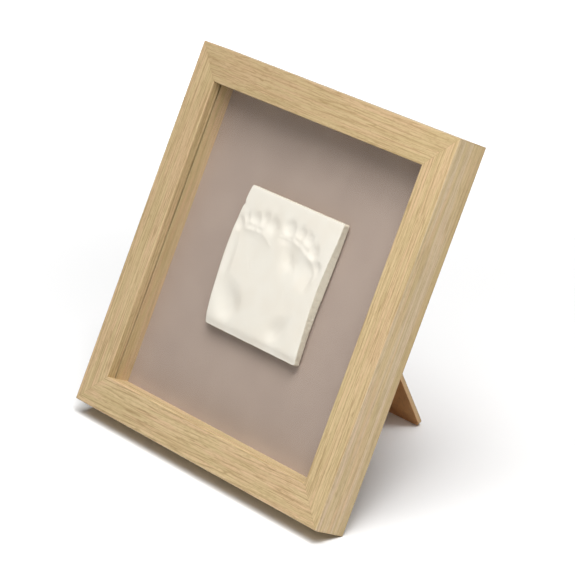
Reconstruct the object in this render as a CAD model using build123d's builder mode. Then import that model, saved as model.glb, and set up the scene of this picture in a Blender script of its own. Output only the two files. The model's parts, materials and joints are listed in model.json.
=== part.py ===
from build123d import *
import math
import os

# A deep square box frame that leans back on a hinged leg. Behind its pane a clay tile with
# the prints of two baby feet is fixed to a card. Millimetres, X across the frame, +Y to the
# back, +Z up, with the floor at Z = 0.

# Stance
lean_angle = 26.0
leg_open_angle = 49.0

# Frame moulding, an L section whose lip stands in front of the pane
frame_width = 250.0
frame_height = 250.0
moulding_depth = 23.4
face_width = 22.8
wall_thickness = 14.0
lip_depth = 6.2
edge_round = 0.6

# Sheets and spacers that fill the rabbet, from the lip to the back of the frame
sheet_fit = 0.5
pane_thickness = 2.0
card_thickness = 1.2
panel_thickness = 3.0

# V-shaped corner nails pressed in from the back
nail_inset = 4.0
nail_arm = 6.0
nail_sheet = 0.6
nail_depth = 8.0

# Clay tile, with its sides slightly bowed as rolled clay is, and the pads behind it
tile_width = 91.6
tile_height = 91.8
tile_thickness = 5.8
tile_rise = 3.5
tile_corner = 2.0
tile_edge_round = 1.2
left_bulge = 4.2
right_hollow = 1.8
end_bow = 0.8
pad_size = 18.0
pad_thickness = 1.0
pad_spacing = 56.0

# Footprints: shares run from the inner edge of the sole outwards, and from heel to ball
sole_length = 60.6
sole_width = 37.4
sole_depth = 1.2
toe_depth = 2.2
heel_margin = 3.0
left_inner_edge = 8.4
right_inner_edge = 1.0
big_toe_radius = 4.4
toe_radius = 3.3
little_toe_radius = 2.6
sole_shares = [
    (0.00, 0.84), (0.16, 0.69), (0.42, 0.55), (0.50, 0.44), (0.42, 0.32), (0.27, 0.20),
    (0.33, 0.06), (0.61, 0.00), (0.89, 0.07), (1.00, 0.26), (0.98, 0.56), (0.94, 0.78),
    (0.80, 0.95), (0.45, 1.00), (0.12, 0.97),
]
left_toe_shares = [(0.20, 1.15), (0.44, 1.19), (0.66, 1.16), (0.84, 1.12), (0.97, 1.03)]
right_toe_shares = [(0.06, 1.17), (0.36, 1.19), (0.58, 1.17), (0.80, 1.08), (0.96, 0.97)]
toe_radii = [big_toe_radius, toe_radius, toe_radius, little_toe_radius, little_toe_radius]

# Leg of the stand and its hinge of folded sheet
hinge_height = 172.0
leg_thickness = 3.0
leg_top_width = 58.0
leg_foot_width = 69.0
leg_corner = 4.0
leg_fold_gap = 0.5
hinge_sheet = 0.8
leaf_width = 34.0
leaf_length = 22.0
leaf_corner = 3.0
pin_radius = 1.1
running_gap = 0.1
barrel_gap = 0.3
middle_knuckle = 10.0
side_knuckle = 6.0
knuckle_gap = 0.3
pin_head_radius = 1.7
pin_head_height = 0.5
swing_gap = 0.8
stop_length = 7.0
stop_gap = 0.3
rivet_radius = 1.4
rivet_head_radius = 2.6
rivet_head_height = 1.0
rivet_dome_share = 0.8
rivet_spacing = 18.0
rivet_set_back = 14.0

# Turn buttons on the stiles and their screws
button_spacing = 126.0
button_reach = 15.0
button_width = 9.0
button_sheet = 1.2
button_gap = 0.3
button_edge = 0.4
rib_length = 9.0
rib_width = 2.4
rib_height = 0.5
screw_radius = 1.5
screw_depth = 10.0
screw_head_radius = 3.0
screw_head_height = 1.6
screw_slot_width = 0.8
screw_slot_depth = 0.7

# Sawtooth hanger on the top rail and its nails
hanger_length = 40.0
hanger_height = 8.0
hanger_sheet = 0.9
hanger_stand = 1.8
hanger_pad = 7.0
hanger_ramp = 2.0
tooth_pitch = 3.0
tooth_depth = 1.6
tooth_count = 7
hanger_nail_radius = 0.8
hanger_nail_depth = 9.0
hanger_nail_head_radius = 1.6
hanger_nail_head_height = 0.7

# Small clearance of a fixed fastener in its hole
fixed_gap = 0.05

# Levels above the back face of the frame
rabbet_depth = moulding_depth - lip_depth
card_front = panel_thickness + card_thickness
pane_back = rabbet_depth - pane_thickness
tile_back = card_front + pad_thickness

# The hinge pin stands off the back, and the leg folds to leg_fold_gap from it
barrel_radius = pin_radius + running_gap + hinge_sheet
pin_stand = barrel_gap + barrel_radius
leg_inner = pin_stand - leg_fold_gap
leg_outer = leg_thickness - leg_inner
swing_radius = barrel_radius + swing_gap

# The leg reaches the floor with the lower edge of its inner face
lean = math.radians(lean_angle)
leg_lean = math.radians(leg_open_angle - lean_angle)
pin_up = hinge_height * math.cos(lean) - pin_stand * math.sin(lean)
pin_back = hinge_height * math.sin(lean) + pin_stand * math.cos(lean)
leg_length = (pin_up - leg_inner * math.sin(leg_lean)) / math.cos(leg_lean)
back_reach = pin_back + leg_length * math.sin(leg_lean) + leg_outer * math.cos(leg_lean)
round_reach = edge_round * (1 - math.sin(lean) - math.cos(lean))
front_reach = moulding_depth * math.cos(lean) + round_reach
middle = (back_reach - front_reach) / 2

# Planes: back_plane has its origin on the lower back edge of the frame, x across, y up the
# frame and z to the front, and centre_plane is the same plane at the middle of the frame
back_plane = Plane(
    origin=(0, -middle, 0), x_dir=(1, 0, 0), z_dir=(0, -math.cos(lean), math.sin(lean))
)


def plane_at(plane, x, y, z):
    """The same plane with its origin moved to a point given in its own coordinates."""
    return Plane(plane.from_local_coords((x, y, z)), x_dir=plane.x_dir, z_dir=plane.z_dir)


centre_plane = plane_at(back_plane, 0, frame_height / 2, 0)
pin_plane = plane_at(back_plane, 0, hinge_height, -pin_stand)
leg_plane = Plane(
    pin_plane.origin, x_dir=(1, 0, 0), z_dir=(0, -math.cos(leg_lean), -math.sin(leg_lean))
)
pin_section = Plane(pin_plane.origin, x_dir=pin_plane.y_dir, z_dir=pin_plane.x_dir)
front_axis = Axis((0, 0, 0), back_plane.z_dir)

# Each side of the frame: the way it runs, its length and its distance from the middle
sides = {
    "rail_bottom": (centre_plane.x_dir, frame_width, frame_height / 2),
    "stile_right": (centre_plane.y_dir, frame_height, frame_width / 2),
    "rail_top": (-centre_plane.x_dir, frame_width, frame_height / 2),
    "stile_left": (-centre_plane.y_dir, frame_height, frame_width / 2),
}


def side_plane(along, distance):
    """Plane on the outer edge of a side: x along the side, y inwards and z to the front."""
    turned = Plane(centre_plane.origin, x_dir=along, z_dir=centre_plane.z_dir)
    return plane_at(turned, 0, -distance, 0)


button_places = {
    "turn_button_lower_left": (-1, -1),
    "turn_button_lower_right": (1, -1),
    "turn_button_upper_left": (-1, 1),
    "turn_button_upper_right": (1, 1),
}
button_points = [
    (sx * (frame_width - wall_thickness) / 2, sy * button_spacing / 2)
    for sx, sy in button_places.values()
]
hanger_line = (frame_height - wall_thickness) / 2
hanger_nail_points = [
    (sx * (hanger_length - hanger_pad) / 2, hanger_line) for sx in (-1, 1)
]
rivet_points = [(sx * rivet_spacing / 2, rivet_set_back) for sx in (-1, 1)]
leg_rivet_points = [(x, -y) for x, y in rivet_points]


def corner_nail_outlines():
    """One L at each mitre, seen from the back, with the corner of the L on the mitre line."""
    for sx in (-1, 1):
        for sy in (-1, 1):
            apex_x = sx * (frame_width / 2 - nail_inset)
            apex_y = sy * (frame_height / 2 - nail_inset)
            with Locations((apex_x - sx * nail_arm / 2, apex_y - sy * nail_sheet / 2)):
                Rectangle(nail_arm, nail_sheet)
            with Locations((apex_x - sx * nail_sheet / 2, apex_y - sy * nail_arm / 2)):
                Rectangle(nail_sheet, nail_arm)


os.makedirs("parts", exist_ok=True)

# Four mouldings, each cut to a mitre at both ends
for name, (along, length, distance) in sides.items():
    side = side_plane(along, distance)
    with BuildPart() as moulding:
        with BuildSketch(Plane(side.origin, x_dir=side.y_dir, z_dir=side.x_dir)):
            with BuildLine():
                Polyline(
                    (0, 0),
                    (wall_thickness, 0),
                    (wall_thickness, rabbet_depth),
                    (face_width, rabbet_depth),
                    (face_width, moulding_depth),
                    (0, moulding_depth),
                    close=True,
                )
            face = make_face()
            fillet(face.vertices().group_by(Axis.Y)[-1], edge_round)
        extrude(amount=length / 2, both=True)
        for end in (-1, 1):
            mitre = Plane(
                side.from_local_coords((end * length / 2, 0, 0)),
                z_dir=side.x_dir * end + side.y_dir,
            )
            split(bisect_by=mitre, keep=Keep.BOTTOM)
        with BuildSketch(centre_plane):
            corner_nail_outlines()
        extrude(amount=nail_depth, mode=Mode.SUBTRACT)
        with BuildSketch(centre_plane):
            with Locations(*button_points):
                Circle(screw_radius + fixed_gap)
        extrude(amount=screw_depth, mode=Mode.SUBTRACT)
        with BuildSketch(centre_plane):
            with Locations(*hanger_nail_points):
                Circle(hanger_nail_radius + fixed_gap)
        extrude(amount=hanger_nail_depth, mode=Mode.SUBTRACT)
    moulding.part.label = name
    export_step(moulding.part, f"parts/{name}.step")

# Corner nails, one in each mitre
with BuildPart() as corner_nails:
    with BuildSketch(centre_plane):
        corner_nail_outlines()
    extrude(amount=nail_depth)
corner_nails.part.label = "corner_nails"
export_step(corner_nails.part, "parts/corner_nails.step")

# Pane, card and back panel lie one behind the other in the rabbet
sheet_width = frame_width - 2 * (wall_thickness + sheet_fit)
sheet_height = frame_height - 2 * (wall_thickness + sheet_fit)

with BuildPart() as pane:
    with BuildSketch(centre_plane.offset(pane_back)):
        Rectangle(sheet_width, sheet_height)
    extrude(amount=pane_thickness)
pane.part.label = "pane"
export_step(pane.part, "parts/pane.step")

with BuildPart() as backing_card:
    with BuildSketch(centre_plane.offset(panel_thickness)):
        Rectangle(sheet_width, sheet_height)
    extrude(amount=card_thickness)
backing_card.part.label = "backing_card"
export_step(backing_card.part, "parts/backing_card.step")

leaf_offset = hinge_height - frame_height / 2
with BuildPart() as back_panel:
    with BuildSketch(centre_plane):
        Rectangle(sheet_width, sheet_height)
        with Locations(*[(x, y + leaf_offset) for x, y in rivet_points]):
            Circle(rivet_radius + fixed_gap, mode=Mode.SUBTRACT)
    extrude(amount=panel_thickness)
back_panel.part.label = "back_panel"
export_step(back_panel.part, "parts/back_panel.step")

# Four spacers hold the card off the pane, their inner faces in line with the lip
spacer_width = face_width - wall_thickness - sheet_fit
spacer_lengths = {
    "spacer_bottom": ("rail_bottom", frame_width - 2 * face_width),
    "spacer_right": ("stile_right", sheet_height),
    "spacer_top": ("rail_top", frame_width - 2 * face_width),
    "spacer_left": ("stile_left", sheet_height),
}
for name, (side_name, length) in spacer_lengths.items():
    along, side_length, distance = sides[side_name]
    with BuildPart() as spacer:
        with BuildSketch(side_plane(along, distance).offset(card_front)):
            with Locations((0, face_width - spacer_width / 2)):
                Rectangle(length, spacer_width)
        extrude(amount=pane_back - card_front)
    spacer.part.label = name
    export_step(spacer.part, f"parts/{name}.step")

# Foam pads between the card and the tile
tile_plane = plane_at(centre_plane, 0, tile_rise, tile_back)
with BuildPart() as foam_pads:
    with BuildSketch(tile_plane):
        with GridLocations(pad_spacing, pad_spacing, 2, 2):
            Rectangle(pad_size, pad_size)
    extrude(amount=-pad_thickness)
foam_pads.part.label = "foam_pads"
export_step(foam_pads.part, "parts/foam_pads.step")

# Clay tile with the prints of a left and a right foot
half_width = tile_width / 2
half_height = tile_height / 2
tile_face = tile_plane.offset(tile_thickness)


def print_point(hand, inner_edge, across_share, along_share):
    """A point of a footprint on the tile: hand is -1 for the left foot and 1 for the right."""
    x = hand * (inner_edge + across_share * sole_width)
    y = heel_margin - half_height + along_share * sole_length
    return (x, y)


with BuildPart() as clay_tile:
    with BuildSketch(tile_plane):
        with BuildLine():
            ThreePointArc(
                (-half_width, -half_height), (-half_width - left_bulge, 0), (-half_width, half_height)
            )
            ThreePointArc(
                (-half_width, half_height), (0, half_height + end_bow), (half_width, half_height)
            )
            ThreePointArc(
                (half_width, half_height), (half_width - right_hollow, 0), (half_width, -half_height)
            )
            ThreePointArc(
                (half_width, -half_height), (0, -half_height - end_bow), (-half_width, -half_height)
            )
        outline = make_face()
        fillet(outline.vertices(), tile_corner)
    extrude(amount=tile_thickness)
    fillet(clay_tile.faces().sort_by(front_axis)[-1].edges(), tile_edge_round)
    for hand, inner_edge, toe_shares in (
        (-1, left_inner_edge, left_toe_shares),
        (1, right_inner_edge, right_toe_shares),
    ):
        with BuildSketch(tile_face):
            with BuildLine():
                Spline(*[print_point(hand, inner_edge, *share) for share in sole_shares], periodic=True)
            make_face()
        extrude(amount=-sole_depth, mode=Mode.SUBTRACT)
        for radius, share in zip(toe_radii, toe_shares):
            ball_radius = (radius**2 + toe_depth**2) / (2 * toe_depth)
            x, y = print_point(hand, inner_edge, *share)
            with Locations(tile_face.from_local_coords((x, y, ball_radius - toe_depth))):
                Sphere(ball_radius, mode=Mode.SUBTRACT)
clay_tile.part.label = "clay_tile"
export_step(clay_tile.part, "parts/clay_tile.step")

# Leg of the stand, wider at its foot
leg_top = -swing_radius
with BuildPart() as stand_leg:
    with BuildSketch(leg_plane.offset(-leg_outer)):
        with BuildLine():
            Polyline(
                (-leg_foot_width / 2, -leg_length),
                (leg_foot_width / 2, -leg_length),
                (leg_top_width / 2, leg_top),
                (-leg_top_width / 2, leg_top),
                close=True,
            )
        board = make_face()
        fillet(board.vertices(), leg_corner)
        with Locations(*leg_rivet_points):
            Circle(rivet_radius + fixed_gap, mode=Mode.SUBTRACT)
    extrude(amount=leg_thickness)
stand_leg.part.label = "stand_leg"
export_step(stand_leg.part, "parts/stand_leg.step")

# Hinge leaf on the panel, rolled round the pin at its middle knuckle
leaf_outer = pin_stand - hinge_sheet
knuckle_start = middle_knuckle / 2 + knuckle_gap
knuckle_middle = knuckle_start + side_knuckle / 2
hinge_half = knuckle_start + side_knuckle
plate_length = leaf_length - swing_radius
with BuildPart() as panel_leaf:
    with BuildSketch(pin_plane.offset(leaf_outer)):
        with Locations((0, swing_radius + plate_length / 2)):
            RectangleRounded(leaf_width, plate_length, leaf_corner)
        with Locations((0, (swing_radius + leaf_corner) / 2)):
            Rectangle(middle_knuckle, swing_radius + leaf_corner)
        with Locations(*rivet_points):
            Circle(rivet_radius + fixed_gap, mode=Mode.SUBTRACT)
    extrude(amount=hinge_sheet)
    with BuildSketch(pin_section):
        Circle(barrel_radius)
    extrude(amount=middle_knuckle / 2, both=True)
    with BuildSketch(pin_section):
        Circle(pin_radius + fixed_gap)
    extrude(amount=middle_knuckle / 2, both=True, mode=Mode.SUBTRACT)
panel_leaf.part.label = "panel_hinge_leaf"
export_step(panel_leaf.part, "parts/panel_hinge_leaf.step")

# Hinge leaf on the leg: two knuckles, and two stop tabs that meet the other leaf when open
with BuildPart() as leg_leaf:
    with BuildSketch(leg_plane.offset(-leg_outer - hinge_sheet)):
        with Locations((0, -swing_radius - plate_length / 2)):
            RectangleRounded(leaf_width, plate_length, leaf_corner)
        with Locations(*[(sx * knuckle_middle, -(swing_radius + leaf_corner) / 2) for sx in (-1, 1)]):
            Rectangle(side_knuckle, swing_radius + leaf_corner)
        with Locations(*leg_rivet_points):
            Circle(rivet_radius + fixed_gap, mode=Mode.SUBTRACT)
    extrude(amount=hinge_sheet)
    with BuildSketch(pin_plane.offset(leaf_outer - stop_gap - hinge_sheet)):
        with Locations(*[(sx * knuckle_middle, stop_length / 2) for sx in (-1, 1)]):
            Rectangle(side_knuckle, stop_length)
    extrude(amount=hinge_sheet)
    for start in (-hinge_half, knuckle_start):
        with BuildSketch(pin_section.offset(start)):
            Circle(barrel_radius)
        extrude(amount=side_knuckle)
    with BuildSketch(pin_section):
        Circle(pin_radius + running_gap)
    extrude(amount=hinge_half, both=True, mode=Mode.SUBTRACT)
leg_leaf.part.label = "leg_hinge_leaf"
export_step(leg_leaf.part, "parts/leg_hinge_leaf.step")

# Hinge pin with a head at each end
pin_half = hinge_half + knuckle_gap
with BuildPart() as hinge_pin:
    with BuildSketch(pin_section):
        Circle(pin_radius)
    extrude(amount=pin_half, both=True)
    for start in (-pin_half - pin_head_height, pin_half):
        with BuildSketch(pin_section.offset(start)):
            Circle(pin_head_radius)
        extrude(amount=pin_head_height)
hinge_pin.part.label = "hinge_pin"
export_step(hinge_pin.part, "parts/hinge_pin.step")


def rivets(plane, points, outer, grip):
    """Domed rivets whose heads sit at the level outer and whose shanks run forward by grip."""
    with BuildPart() as group:
        with BuildSketch(plane.offset(outer)):
            with Locations(*points):
                Circle(rivet_radius)
        extrude(amount=grip)
        with BuildSketch(plane.offset(outer)):
            with Locations(*points):
                Circle(rivet_head_radius)
        extrude(amount=-rivet_head_height)
        rims = group.edges().group_by(Axis(plane.origin, plane.z_dir))[0]
        fillet(rims, rivet_head_height * rivet_dome_share)
    return group.part


panel_rivets = rivets(pin_plane, rivet_points, leaf_outer, hinge_sheet + panel_thickness)
panel_rivets.label = "panel_leaf_rivets"
export_step(panel_rivets, "parts/panel_leaf_rivets.step")

leg_rivets = rivets(leg_plane, leg_rivet_points, -leg_outer - hinge_sheet, hinge_sheet + leg_thickness)
leg_rivets.label = "leg_leaf_rivets"
export_step(leg_rivets, "parts/leg_leaf_rivets.step")

# Turn buttons that reach over the panel, each pressed with a rib
button_level = -button_gap - button_sheet
for name, (sx, sy) in button_places.items():
    pivot_x = sx * (frame_width - wall_thickness) / 2
    pivot_y = sy * button_spacing / 2
    button_plane = plane_at(centre_plane, pivot_x, pivot_y, button_level)
    with BuildPart() as turn_button:
        with BuildSketch(button_plane):
            with Locations((-sx * button_reach / 2, 0)):
                SlotCenterToCenter(button_reach, button_width)
        extrude(amount=button_sheet)
        fillet(turn_button.faces().sort_by(front_axis)[0].edges(), button_edge)
        with BuildSketch(button_plane):
            with Locations((-sx * (button_reach - rib_width), 0)):
                SlotOverall(rib_length, rib_width)
        extrude(amount=-rib_height)
        with BuildSketch(button_plane):
            Circle(screw_radius + running_gap)
        extrude(amount=button_sheet, mode=Mode.SUBTRACT)
    turn_button.part.label = name
    export_step(turn_button.part, f"parts/{name}.step")

# One slotted screw for each turn button
head_level = button_level - button_gap
with BuildPart() as button_screws:
    with BuildSketch(centre_plane.offset(head_level)):
        with Locations(*button_points):
            Circle(screw_radius)
    extrude(amount=screw_depth - head_level)
    with BuildSketch(centre_plane.offset(head_level)):
        with Locations(*button_points):
            Circle(screw_head_radius)
    extrude(amount=-screw_head_height)
    fillet(button_screws.edges().group_by(front_axis)[0], screw_head_height / 2)
    with BuildSketch(centre_plane.offset(head_level - screw_head_height)):
        with Locations(*button_points):
            Rectangle(2 * screw_head_radius, screw_slot_width)
    extrude(amount=screw_slot_depth, mode=Mode.SUBTRACT)
button_screws.part.label = "turn_button_screws"
export_step(button_screws.part, "parts/turn_button_screws.step")

# Sawtooth hanger: a strip raised off the rail between its two nailed ends
hanger_plane = plane_at(centre_plane, 0, hanger_line, 0)
pad_end = hanger_length / 2 - hanger_pad
ramp_end = pad_end - hanger_ramp
strip_line = [
    (-hanger_length / 2, 0),
    (-pad_end, 0),
    (-ramp_end, hanger_stand),
    (ramp_end, hanger_stand),
    (pad_end, 0),
    (hanger_length / 2, 0),
]
strip_back = [(x, y + hanger_sheet) for x, y in reversed(strip_line)]
with BuildPart() as hanger:
    with BuildSketch(Plane(hanger_plane.origin, x_dir=hanger_plane.x_dir, z_dir=hanger_plane.y_dir)):
        with BuildLine():
            Polyline(*strip_line, *strip_back, close=True)
        make_face()
    extrude(amount=hanger_height / 2, both=True)
    with BuildSketch(hanger_plane):
        with Locations((0, -hanger_height / 2)):
            with GridLocations(tooth_pitch, 0, tooth_count, 1):
                Polygon((-tooth_pitch / 2, 0), (tooth_pitch / 2, 0), (0, tooth_depth), align=None)
        with GridLocations(hanger_length - hanger_pad, 0, 2, 1):
            Circle(hanger_nail_radius + fixed_gap)
    extrude(amount=-hanger_stand - hanger_sheet, mode=Mode.SUBTRACT)
hanger.part.label = "sawtooth_hanger"
export_step(hanger.part, "parts/sawtooth_hanger.step")

with BuildPart() as hanger_nails:
    with BuildSketch(centre_plane.offset(-hanger_sheet)):
        with Locations(*hanger_nail_points):
            Circle(hanger_nail_radius)
    extrude(amount=hanger_nail_depth + hanger_sheet)
    with BuildSketch(centre_plane.offset(-hanger_sheet)):
        with Locations(*hanger_nail_points):
            Circle(hanger_nail_head_radius)
    extrude(amount=-hanger_nail_head_height)
hanger_nails.part.label = "hanger_nails"
export_step(hanger_nails.part, "parts/hanger_nails.step")

print("frame leans", lean_angle, "leg length from pin", round(leg_length, 2))
print("pin at", [round(value, 3) for value in pin_plane.origin], "reach", round(middle, 3))
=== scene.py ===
# %% [markdown]
# A deep oak box frame holds a clay tile with the prints of two baby feet. The frame leans back
# on a hinged leg. The frame, its sheets, its leg and its metal parts come ready from the CAD
# model, at their real size and place. What is left to make here is the light, the camera, the
# soft relief of the pressed clay, and a finish for every surface: oak, clear sheet, card, clay,
# foam, hardboard and zinc plated steel.

import json
import math

import bpy
import numpy as np
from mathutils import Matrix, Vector


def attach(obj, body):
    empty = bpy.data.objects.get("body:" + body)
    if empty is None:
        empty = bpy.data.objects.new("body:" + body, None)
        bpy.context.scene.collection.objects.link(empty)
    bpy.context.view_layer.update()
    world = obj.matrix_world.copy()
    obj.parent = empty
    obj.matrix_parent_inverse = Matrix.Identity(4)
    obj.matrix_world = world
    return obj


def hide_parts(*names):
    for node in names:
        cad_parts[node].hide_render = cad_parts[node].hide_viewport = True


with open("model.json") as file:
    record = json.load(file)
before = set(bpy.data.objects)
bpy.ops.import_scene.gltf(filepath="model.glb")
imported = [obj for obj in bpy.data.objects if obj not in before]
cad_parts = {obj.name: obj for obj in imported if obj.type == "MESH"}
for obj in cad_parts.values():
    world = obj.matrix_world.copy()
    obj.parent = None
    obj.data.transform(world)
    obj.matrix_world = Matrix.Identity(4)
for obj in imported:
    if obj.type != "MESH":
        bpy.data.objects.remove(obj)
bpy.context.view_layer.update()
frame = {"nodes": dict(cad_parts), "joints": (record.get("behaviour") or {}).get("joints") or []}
nodes = frame["nodes"]

# %% [markdown]
# The frame leans back, so its grain and its tile don't follow the room's directions. Every
# pattern below is worked out along the frame's own three directions instead: across it, up its
# face, and out of its front. The turn buttons swing about the line that points out of the back,
# so the lean can be read from one of their joints, and nothing has to be typed twice.

# %% The frame's own directions
mm_per_m = 1000.0

joints = {joint["name"]: joint for joint in frame["joints"]}
front = -Vector(joints["button_upper_left_turn"]["axis"])
across = Vector((1.0, 0.0, 0.0))
up = front.cross(across)
lean = math.atan2(front.z, -front.y)


def span(node, direction):
    """Lowest and highest place of a node's points along a direction, in metres.

    The place of a point is the sum of the products of its parts and the direction's."""
    points = np.empty(len(nodes[node].data.vertices) * 3, np.float32)
    nodes[node].data.vertices.foreach_get("co", points)
    places = points.reshape(-1, 3) @ np.array(direction, np.float32)
    return float(places.min()), float(places.max())


middle_up = sum(span("stile_left", up)) / 2
back_level = span("stile_left", front)[0]
centre = up * middle_up + front * back_level
frame_side = span("rail_top", across)[1] * 2
print("lean:", round(math.degrees(lean), 2), "side of the frame:", round(frame_side, 4))

# %% [markdown]
# A long lens far away keeps the frame's edges nearly parallel, as they are in a product
# picture. The camera's place and direction come from the four corners of the front face: a
# square of known size seen in perspective fixes both. It stands to the right, a little above.
# The Standard view shows colours as they are written, with no film curve over them.

# %% Camera
camera_place = (1.3721, -1.1036, 0.8206)
camera_azimuth = math.radians(51.28)
camera_elevation = math.radians(22.05)
camera_lens = 187.95
camera_sensor = 36.0

looks_along = Vector(
    (
        -math.sin(camera_azimuth) * math.cos(camera_elevation),
        math.cos(camera_azimuth) * math.cos(camera_elevation),
        -math.sin(camera_elevation),
    )
)
camera_data = bpy.data.cameras.new("camera")
camera_data.lens = camera_lens
camera_data.sensor_width = camera_sensor
camera = bpy.data.objects.new("camera", camera_data)
camera.location = camera_place
camera.rotation_euler = looks_along.to_track_quat("-Z", "Y").to_euler()
bpy.context.scene.collection.objects.link(camera)
bpy.context.scene.camera = camera
bpy.context.scene.view_settings.view_transform = "Standard"
print("camera is", round((camera.location - centre).length, 3), "m from the frame")

# %% [markdown]
# Shader formulas are easier to read as sums than as boxes and wires. Value wraps a socket that
# carries a number, so that a + b or 1 - a adds a Math node by itself.


# %% Numbers that write their own nodes
class Value:
    """A number carried by a socket. Arithmetic on it adds Math nodes to its finish."""

    def __init__(self, finish, socket):
        self.finish = finish
        self.socket = socket

    def math(self, operation, *others):
        """A Math node's operation on this number and others, in that order."""
        return self.finish.math(operation, self, *others)

    def __add__(self, other):
        return self.math("ADD", other)

    def __radd__(self, other):
        return self.finish.math("ADD", other, self)

    def __sub__(self, other):
        return self.math("SUBTRACT", other)

    def __rsub__(self, other):
        return self.finish.math("SUBTRACT", other, self)

    def __mul__(self, other):
        return self.math("MULTIPLY", other)

    def __rmul__(self, other):
        return self.finish.math("MULTIPLY", other, self)

    def __truediv__(self, other):
        return self.math("DIVIDE", other)

    def __pow__(self, other):
        return self.math("POWER", other)

    def __abs__(self):
        return self.math("ABSOLUTE")

    def rise(self, low, high):
        """0 below low, 1 above high, and 3 t^2 - 2 t^3 between, with t the share of the way.

        Low may be the larger one, and then it is 1 below high."""
        made = self.finish.node(
            "ShaderNodeMapRange",
            {"interpolation_type": "SMOOTHSTEP"},
            {"Value": self, "From Min": low, "From Max": high},
        )
        return Value(self.finish, made.outputs[0])


print("Value:", sum(callable(part) for part in vars(Value).values()), "methods")

# %% [markdown]
# A finish is one material, and the world's nodes are built the same way. The node method adds
# any node: first its settings, then what goes into its sockets. The others are short names for
# the nodes that are used again and again.


# %% A finish and its nodes
class Finish:
    """One material, or a node tree that is handed in, built from nodes."""

    def __init__(self, name="", tree=None):
        self.material = None
        if tree is None:
            self.material = bpy.data.materials.new(name)
            self.material.use_nodes = True
            tree = self.material.node_tree
        self.tree = tree
        self.tree.nodes.clear()

    def node(self, kind, settings=None, sockets=None):
        """Adds a node of a kind, sets its settings, then fills or links its sockets."""
        made = self.tree.nodes.new(kind)
        for name, value in (settings or {}).items():
            setattr(made, name, value)
        by_name = {socket.name: socket for socket in reversed(made.inputs)}
        by_name.update({socket.identifier: socket for socket in made.inputs})
        for name, value in (sockets or {}).items():
            socket = made.inputs[name] if isinstance(name, int) else by_name[name]
            if isinstance(value, Value):
                self.tree.links.new(value.socket, socket)
            elif isinstance(value, bpy.types.NodeSocket):
                self.tree.links.new(value, socket)
            else:
                socket.default_value = value
        return made

    def math(self, operation, *values):
        """A Math node's operation on numbers, in their order."""
        made = self.node("ShaderNodeMath", {"operation": operation}, dict(enumerate(values)))
        return Value(self, made.outputs[0])

    def vector(self, x, y, z):
        """A vector socket made of three numbers."""
        return self.node("ShaderNodeCombineXYZ", None, {"X": x, "Y": y, "Z": z}).outputs[0]

    def noise(self, x, y, z, detail=2.0, roughness=0.5, distortion=0.0):
        """Smooth noise from 0 to 1 whose lumps are about one unit wide in x, y and z."""
        made = self.node(
            "ShaderNodeTexNoise",
            {"noise_dimensions": "3D"},
            {
                "Vector": self.vector(x, y, z),
                "Scale": 1.0,
                "Detail": detail,
                "Roughness": roughness,
                "Distortion": distortion,
            },
        )
        return Value(self, made.outputs[0])

    def lumps(self, place, size, detail=2.0, roughness=0.5):
        """Noise at a place whose lumps are size millimetres wide each way."""
        x, y, z = place
        return self.noise(x / size, y / size, z / size, detail, roughness)

    def mix(self, share, first, second):
        """The first colour where share is 0 and the second where it is 1."""
        made = self.node(
            "ShaderNodeMix",
            {"data_type": "RGBA", "clamp_factor": True},
            {"Factor_Float": share, "A_Color": first, "B_Color": second},
        )
        return next(socket for socket in made.outputs if socket.identifier == "Result_Color")

    def blend(self, share, first, second):
        """The first shader where share is 0 and the second where it is 1."""
        made = self.node("ShaderNodeMixShader", None, {0: share, 1: first, 2: second})
        return made.outputs[0]

    def ray(self, first, *others):
        """1 for a ray of one of the kinds that are named, and 0 for any other."""
        path = self.node("ShaderNodeLightPath")
        found = Value(self, path.outputs[first])
        for kind in others:
            found = found.math("MAXIMUM", Value(self, path.outputs[kind]))
        return found

    def attribute(self, name):
        """A number stored on the points of the mesh."""
        made = self.node("ShaderNodeAttribute", {"attribute_name": name})
        return Value(self, made.outputs["Fac"])

    def place(self, board_up, origin):
        """Millimetres across a board, up it and out of its face, from origin.

        The board's up direction has no part along X, so one turn about X lines the pattern up
        with it. The Mapping node scales metres to millimetres, turns, then moves."""
        board_front = across.cross(board_up)
        turn = math.atan2(-board_up.z, board_up.y)
        moved = [-mm_per_m * origin.dot(way) for way in (across, board_up, board_front)]
        coordinates = self.node("ShaderNodeTexCoord").outputs["Object"]
        mapping = self.node(
            "ShaderNodeMapping",
            {"vector_type": "POINT"},
            {
                "Vector": coordinates,
                "Location": moved,
                "Rotation": (turn, 0.0, 0.0),
                "Scale": (mm_per_m, mm_per_m, mm_per_m),
            },
        )
        parts = self.node("ShaderNodeSeparateXYZ", None, {"Vector": mapping.outputs[0]})
        return [Value(self, socket) for socket in parts.outputs]

    def end(self, shader):
        """Ends the material with a shader."""
        self.node("ShaderNodeOutputMaterial", None, {"Surface": shader})
        return self.material

    def surface(self, sockets, height):
        """Ends the material: a Principled shader, with a height in millimetres as its bump."""
        bump = self.node("ShaderNodeBump", None, {"Height": height, "Distance": 1 / mm_per_m})
        shader = self.node("ShaderNodeBsdfPrincipled", None, {**sockets, "Normal": bump.outputs[0]})
        return self.end(shader.outputs[0])


print("Finish:", sum(callable(part) for part in vars(Finish).values()), "methods")

# %% [markdown]
# Colours are easiest to choose as they look on a screen, from 0 to 255. The renderer adds light
# and needs linear numbers, so each colour is turned into those once, where it is named.


# %% Colours, and dressing the pieces
def tone(red, green, blue):
    """The linear colour of an sRGB colour that is given from 0 to 255.

    A share s of 255 becomes ((s + 0.055) / 1.055)^2.4, and s / 12.92 where it is very dark."""
    share = np.array([red, green, blue]) / 255
    linear = np.where(share <= 0.04045, share / 12.92, ((share + 0.055) / 1.055) ** 2.4)
    return (*linear.tolist(), 1.0)


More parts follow.
